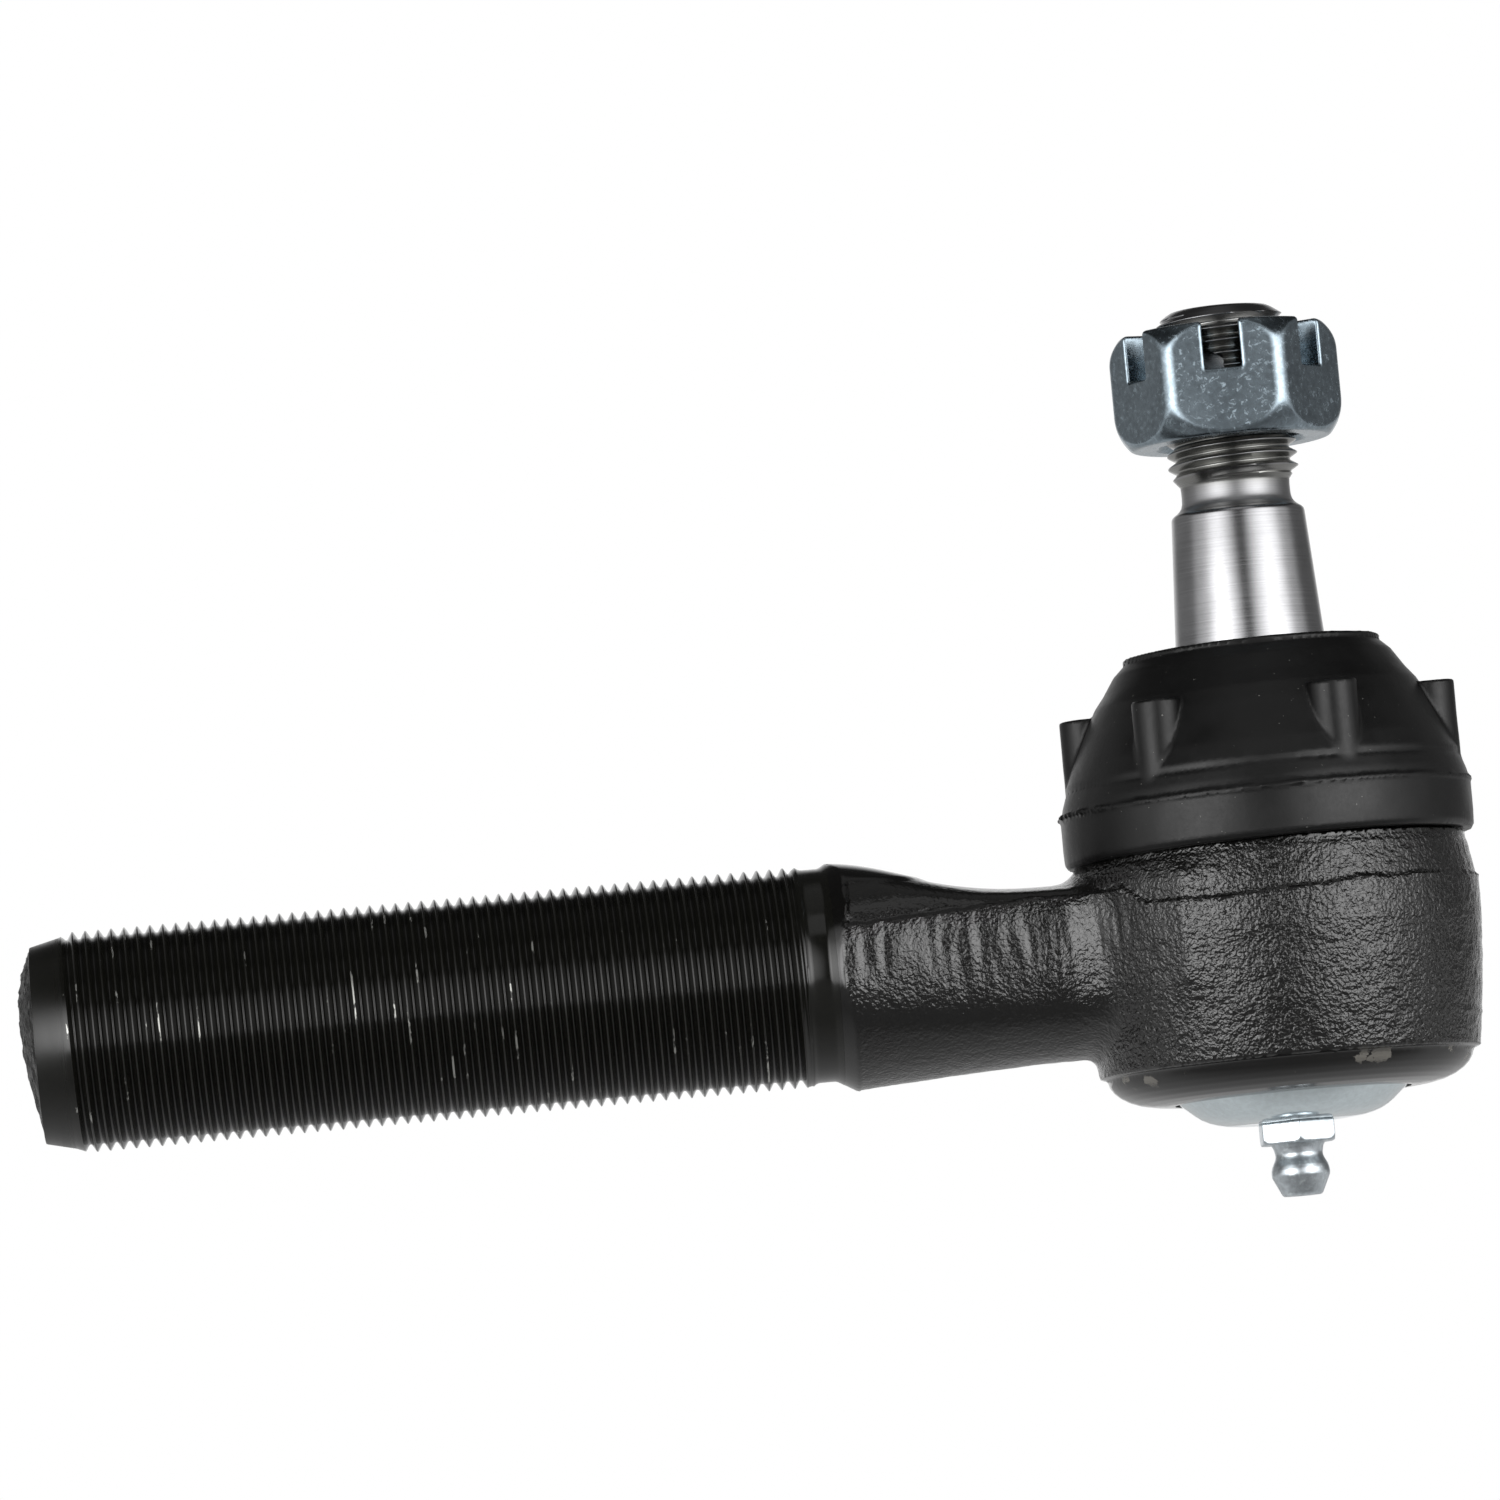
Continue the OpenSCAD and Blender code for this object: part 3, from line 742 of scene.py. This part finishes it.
def make_shank():
    reach = -HOUSING_LOW[0]
    crown_height = 2.0
    rim_x, rim_r = reach - crown_height, 10.7
    chamfer_x = rim_x - 3.2
    crest = 11.9 + PAINT
    start = 52.0
    proud, fillet = 0.02, 0.9
    cone_angle = math.degrees(math.atan(CONE_SLOPE))
    centre = CONE_FOOT + proud / CONE_SLOPE + fillet * math.tan(math.radians(cone_angle / 2))
    edge_x = CONE_FOOT - 0.45 / CONE_SLOPE
    envelope = [(edge_x - 0.02, 11.2), (edge_x, RELIEF_R + 0.45 + proud)]
    envelope += arc((centre, RELIEF_R + fillet), fillet, 270 - cone_angle, 270, 6)
    envelope += [(start - 0.7, RELIEF_R), (start - 0.45, RELIEF_R + 0.04), (start - 0.2, RELIEF_R + 0.14),
                 (start, RELIEF_R + 0.3)]
    envelope += [(start + 0.6, crest), (chamfer_x - 1.4, crest), (chamfer_x, 11.5),
                (rim_x - 0.15, rim_r + 0.06), (rim_x, rim_r)]
    crown = [(rim_x + crown_height * (1 - (r / rim_r) ** 2), r) for r in np.linspace(rim_r, 0.15, 40)[1:]]
    vertices, faces, crests = threaded(envelope + crown, start, chamfer_x, crest, 128, 0.7 * PITCH)
    # The sheared end is rough and domed, and its peak stands to one side.
    end = ease(vertices[:, 2], rim_x - 0.05, rim_x + 0.35)
    peak = 2.6 * end * (vertices[:, 2] - rim_x) / crown_height
    rough = 0.16 * lattice(vertices, 0.8, 11) + 0.1 * lattice(vertices, 0.45, 12)
    vertices[:, 2] += end * (rough - 0.3)
    vertices[:, 0] += peak
    satin = ease(vertices[:, 2], chamfer_x - 0.2, chamfer_x + 0.1) * (1 - end)
    laid_down = np.stack([-vertices[:, 2], vertices[:, 1], vertices[:, 0]], axis=1)
    values = {"crest": crests, "sheared": end, "satin": satin}
    piece = build("shank_thread", laid_down, faces, thread_paint(), values=values)
    weld(piece)
    sharpen(piece, 45)
    stand_for(piece, "housing", "housing")


# ---------------------------------------------------------------- stud and nut

# The cotter pin's hole: radius, height and bearing in degrees from the Y axis.
COTTER_R, COTTER_Z, COTTER_BEARING = 1.785, 62.0, -19.4
# How far the nut is turned from having a flat square to -Y.
NUT_BEARING = math.radians(-4.9)


# The stud above its head as (height, radius): journal, taper, rounded end and undercut.
STUD_TAPER = [(0.0, 8.2), (32.0, 8.2), (32.3, 8.185), (46.1, 7.325), (46.4, 7.25), (46.62, 7.05),
              (46.85, 6.7), (47.15, 6.35), (47.5, 6.12), (48.0, 5.99), (48.6, 5.96), (49.3, 5.96)]


def make_stud():
    crest, start, top = 7.14, 49.8, STUD_HIGH[2]
    ball_r, floor_z, journal_r = -STUD_LOW[0], STUD_LOW[2], STUD_TAPER[0][1]
    floor_angle = math.degrees(math.acos(-floor_z / ball_r))
    angles = np.radians(np.linspace(180 - floor_angle, 90.2, 18))
    ball = [(ball_r * math.cos(t), ball_r * math.sin(t)) for t in angles]
    envelope = (ball + [(-0.04, journal_r)] + STUD_TAPER
                + [(start - 0.3, 5.98), (start, 6.0), (start + 1.3, crest), (top - 1.2, crest),
                   (top - 0.3, 5.9), (top - 0.05, 5.45), (top, 5.2), (top - 0.12, 4.4), (top - 0.16, 0.4)])
    vertices, faces, crests = threaded(envelope, start, top - 0.3, crest, 128, 0.05)
    x, y, z = vertices.T
    # Darker on the rolled thread; the crests keep only 0.3 of it, so the grooves carry painted shade.
    rolled_tone_and_groove_shade = ease(z, 48.9, 49.9) * (1 - 0.7 * crests) * (1 - ease(z, top - 2.2, top - 1.4))
    turned = ease(z, 46.5, 47.2) * (1 - ease(z, 49.4, 50.2))
    piece = build("stud", vertices, faces, ground_steel(), values={"rolled_tone_and_groove_shade": rolled_tone_and_groove_shade, "turned": turned})
    weld(piece)
    hole_v, hole_f = revolve([(0, -12), (COTTER_R, -12), (COTTER_R, 12), (0, 12)], 40)
    drill = build("drill", hole_v, hole_f, piece.data.materials[0])
    drill.matrix_world = (Matrix.Translation((0, 0, COTTER_Z * MM))
                          @ Matrix.Rotation(math.radians(COTTER_BEARING), 4, "Z")
                          @ Matrix.Rotation(math.pi / 2, 4, "X"))
    cut(piece, drill)
    sharpen(piece, 45)
    stand_for(piece, "stud", "ball_stud")


def make_nut():
    low, high = NUT_LOW[2], NUT_HIGH[2]
    apothem = 11.11
    # The corners' radius, how far they fall in at each end, and over what height.
    rim_r, low_fall, high_fall = 12.5, 1.6, 1.45
    low_reach, high_reach = 4.2, 3.2
    bore_r, slot_half, slot_floor = 7.24, 2.0, high - 5.3

    def body(x, y, z):
        r = np.hypot(x, y)
        angle = np.arctan2(y, x)
        sector = angle % (math.pi / 3) - math.pi / 6
        flat = r * np.cos(sector) - apothem
        ends = np.maximum(low - z, z - high)
        fall = low_fall * np.clip((low + low_reach - z) / low_reach, 0, 1.2) ** 2.4
        fall += high_fall * np.clip((z - high + high_reach) / high_reach, 0, 1.2) ** 2.2
        outer = smax(smax(flat, r - rim_r + fall, 0.25), ends, 0.3)
        turn = (angle / TAU - z / PITCH) % 1.0
        groove = 0.55 * np.clip(1.6 * np.abs(2 * turn - 1) - 0.3, 0, 1)
        mouth = np.maximum(0, np.maximum(low + 0.9 - z, z - high + 0.9))
        bore = bore_r + np.maximum(groove, mouth) - r
        solid = smax(outer, bore, 0.15)
        across = np.abs(r * np.sin(sector))
        slot = smax(across - slot_half, slot_floor - z, 0.35)
        return smax(solid, -np.maximum(slot, 4 - r), 0.35)

    def turned(x, y, z):
        c, s = math.cos(NUT_BEARING), math.sin(NUT_BEARING)
        return body(x * c + y * s, y * c - x * s, z)

    pad = 0.6
    points, quads = surface_of(turned, (-rim_r - pad, -rim_r - pad, low - pad),
                               (rim_r + pad, rim_r + pad, high + pad), 0.2)
    plating = zinc("nut_zinc", (0.33, 0.4, 0.45), relief=0.000008, rough=0.25, contrast=0.35, uneven=0.01,
                   nicked=0.9)
    piece = build("slotted_nut", points, quads, plating)
    stand_for(piece, "nut", "castle_nut")


# ---------------------------------------------------------------- boot, cover and fitting

def make_boot():
    bottom, top = BOOT_LOW[2] - 0.2, BOOT_HIGH[2]
    belt = BOOT_HIGH[0]
    # How far the boot sits askew: height per millimetre of x.
    askew = 0.012
    wrap = HEAD_TOP + 0.12
    outline = Outline([(COLLAR_R + 0.12, bottom), (belt - 0.35, bottom), (belt - 0.05, bottom + 0.5),
                       (belt, bottom + 2), (belt, 14.5), (belt + 0.15, 14.85), (belt - 0.15, 15.1),
                       (belt - 0.35, 16.0), (21.72, 17.3), (21.55, 17.5), (21.6, 18.1), (20.75, 20.2),
                       (19.7, 22.4), (18.6, 24.7), (17.7, 26.4), (16.6, 27.8), (15.3, 29.8), (14.0, 31.0),
                       (14.15, top - 0.3), (14.0, top), (8.4, top), (8.35, top - 3.0), (10.5, top - 3.1),
                       (13.2, top - 4.2), (16.6, 24.2), (19.0, 18.5), (19.4, 16.5), (18.4, 14.6),
                       (17.1, 14.0), (17.0, wrap), (COLLAR_R + 0.12, wrap)])
    lug_r, lug_centre, lug_top, lug_first = 2.75, 19.0, 25.7, math.radians(21.0 - 90)

    def body(x, y, z):
        z = z - askew * x
        r = np.hypot(x, y)
        skin = outline.at(r, z)
        sector = (np.arctan2(y, x) - lug_first + math.pi / 6) % (math.pi / 3) - math.pi / 6
        out, side = r * np.cos(sector), r * np.sin(sector)
        lug = np.hypot(out - lug_centre, side) - lug_r
        lug = smax(smax(lug, z - lug_top, 0.25), 16.0 - z, 0.5)
        lug = np.maximum(lug, 17.0 - r)
        return smin(skin, lug, 0.2)

    pad = 1.0
    points, quads = surface_of(body, (-belt - pad, -belt - pad, bottom - pad),
                               (belt + pad, belt + pad, top + pad), 0.34)
    x, y, z = points.T
    r = np.hypot(x, y)
    parting = np.exp(-((z - askew * x - 14.95) / 0.22) ** 2) * (r > 21)
    flash = parting * np.clip(lattice(points * (1, 1, 0), 1.7, 21) + 0.4, 0, 1)
    lift = 0.03 * lattice(points, 2.6, 22) + (0.1 + 0.25 * ease(-x, 14, 20)) * flash
    outside = (r > COLLAR_R + 0.6) | (z > wrap + 3)
    points = points + normals_of(body, points) * (lift * outside)[:, None]
    piece = build("boot", points, quads, boot_rubber())
    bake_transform(piece)
    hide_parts("dust_boot")
    return piece


def make_cover():
    flange_top, floor = COVER_HIGH[2], COVER_LOW[2]
    flange_bottom, rim = flange_top - 1, COVER_HIGH[0]
    outline = [(rim, flange_top), (rim, flange_bottom), (12.85, flange_bottom),
               (12.7, flange_bottom - 0.3), (12.3, flange_bottom - 0.85), (11.6, floor + 2.15),
               (10.9, floor + 1.55), (10.2, floor + 1.05), (9.4, floor + 0.65), (8.5, floor + 0.35),
               (7.6, floor + 0.14), (6.6, floor + 0.03), (5.5, floor), (2.6, floor), (2.6, floor + 1),
               (6.2, floor + 1), (8.3, floor + 1.4), (9.9, floor + 2.1), (11.75, flange_top - 0.8),
               (11.75, flange_top)]
    vertices, faces = revolve(outline[::-1], 160)
    x, y, z = vertices.T
    outer = (z < flange_bottom) & (np.hypot(x, y) < 12.8)
    vertices[:, 2] += np.where(outer, 0.04 * lattice(vertices, 3.5, 31), 0)
    plating = zinc("cover_zinc", (0.72, 0.8, 0.83), relief=0.000002, rough=0.13, contrast=0.12, uneven=0.03)
    piece = build("cover", vertices, faces, plating)
    sharpen(piece, 40)
    stand_for(piece, "housing", "end_cover")


def make_fitting():
    tip, root = FITTING_LOW[2], FITTING_HIGH[2]
    hex_top, flats = -20.5, (FITTING_HIGH[0] - FITTING_LOW[0]) / 2
    hex_bottom = hex_top - 2.4
    # Root, neck and nipple head.
    spindle = Outline([(0, root), (2.5, root), (2.5, hex_top - 0.3), (2.9, hex_top - 0.3),
                       (2.9, hex_bottom - 0.15), (2.74, -23.3), (2.67, -23.6), (2.6, -24.0), (2.6, -24.3),
                       (2.7, -24.6), (2.88, -24.95), (3.05, -25.3), (3.16, -25.7), (3.2, -26.1),
                       (3.17, -26.45), (3.08, -26.65), (2.68, -27.5), (2.25, tip + 0.2), (2.05, tip),
                       (0, tip)])

    def body(x, y, z):
        r = np.hypot(x, y)
        sector = (np.arctan2(y, x) + math.pi / 6) % (math.pi / 3) - math.pi / 6
        prism = smax(r * np.cos(sector) - flats, np.maximum(z - hex_top, hex_bottom - z), 0.15)
        prism = smax(prism, (r - 4.3 - 0.62 * (z - hex_bottom)) / 1.18, 0.15)
        solid = smin(prism, spindle.at(r, z), 0.12)
        return smax(solid, 0.8 + 0.4 * np.clip(tip + 0.5 - z, 0, 1) - r, 0.1)

    pad = 0.5
    # Half of the box, out to the hexagon's corners.
    reach = flats / math.cos(math.pi / 6) + pad
    points, quads = surface_of(body, (-reach, -reach, tip - pad), (reach, reach, root + pad), 0.12)
    plating = zinc("fitting_zinc", (0.7, 0.76, 0.8), relief=0.000008, rough=0.3, contrast=0.3, uneven=0.04,
                   nicked=0.5)
    piece = build("nipple", points, quads, plating)
    stand_for(piece, "housing", "grease_fitting")


# ---------------------------------------------------------------- pieces inside

def make_spring(name, node, steel):
    """A copy of the CAD model's spring in the given steel, standing in place of the CAD node."""
    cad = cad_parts[node]
    piece = bpy.data.objects.new(name, cad.data.copy())
    piece.matrix_world = cad.matrix_world.copy()
    bpy.context.scene.collection.objects.link(piece)
    piece.data.materials.clear()
    piece.data.materials.append(steel)
    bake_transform(piece)
    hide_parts(node)
    return piece


def finish_inner_pieces():
    """The springs as pieces of their own, and materials for the CAD nodes that stay."""
    steel = plain("spring_steel", (0.4, 0.4, 0.41), 1.0, 0.32)
    make_spring("plate_spring", "disc_spring", steel)
    make_spring("valve_spring", "check_spring", steel)
    finishes = {"check_ball": steel, "pressure_plate": steel,
                "lower_bearing": plain("bearing_acetal", (0.78, 0.75, 0.66), 0.0, 0.42),
                "half_ball_bearing": plain("bearing_sintered", (0.28, 0.26, 0.23), 0.9, 0.5, 2400)}
    for node, material in finishes.items():
        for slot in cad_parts[node].material_slots:
            slot.material = material


bpy.context.scene.view_settings.view_transform = "Standard"
make_camera()
make_world()
make_floor()
make_softbox("rim_left", -118, distance=0.75, size=(1.0, 0.9), power=0.7)
make_softbox("softbox_left", -62, distance=0.75, size=(1.13, 0.8), power=0.74, spread=74)
make_softbox("hot_spot_left", -38, distance=0.8, size=(0.96, 0.9), power=1.25, spread=62)
make_softbox("rim_right", 118, distance=0.75, size=(1.0, 0.9), power=0.4)
make_softbox("softbox_right", 66, distance=0.75, size=(1.05, 0.8), power=0.5, spread=70)
make_softbox("hot_spot_right", 36, distance=0.8, size=(1.16, 0.9), power=2.1, spread=72)
make_softbox("softbox_top", 0, distance=0.8, size=(0.6, 0.34), power=0.3, elevation=54)

make_forging()
make_shank()
make_stud()
make_nut()
make_boot()
make_cover()
make_fitting()
finish_inner_pieces()
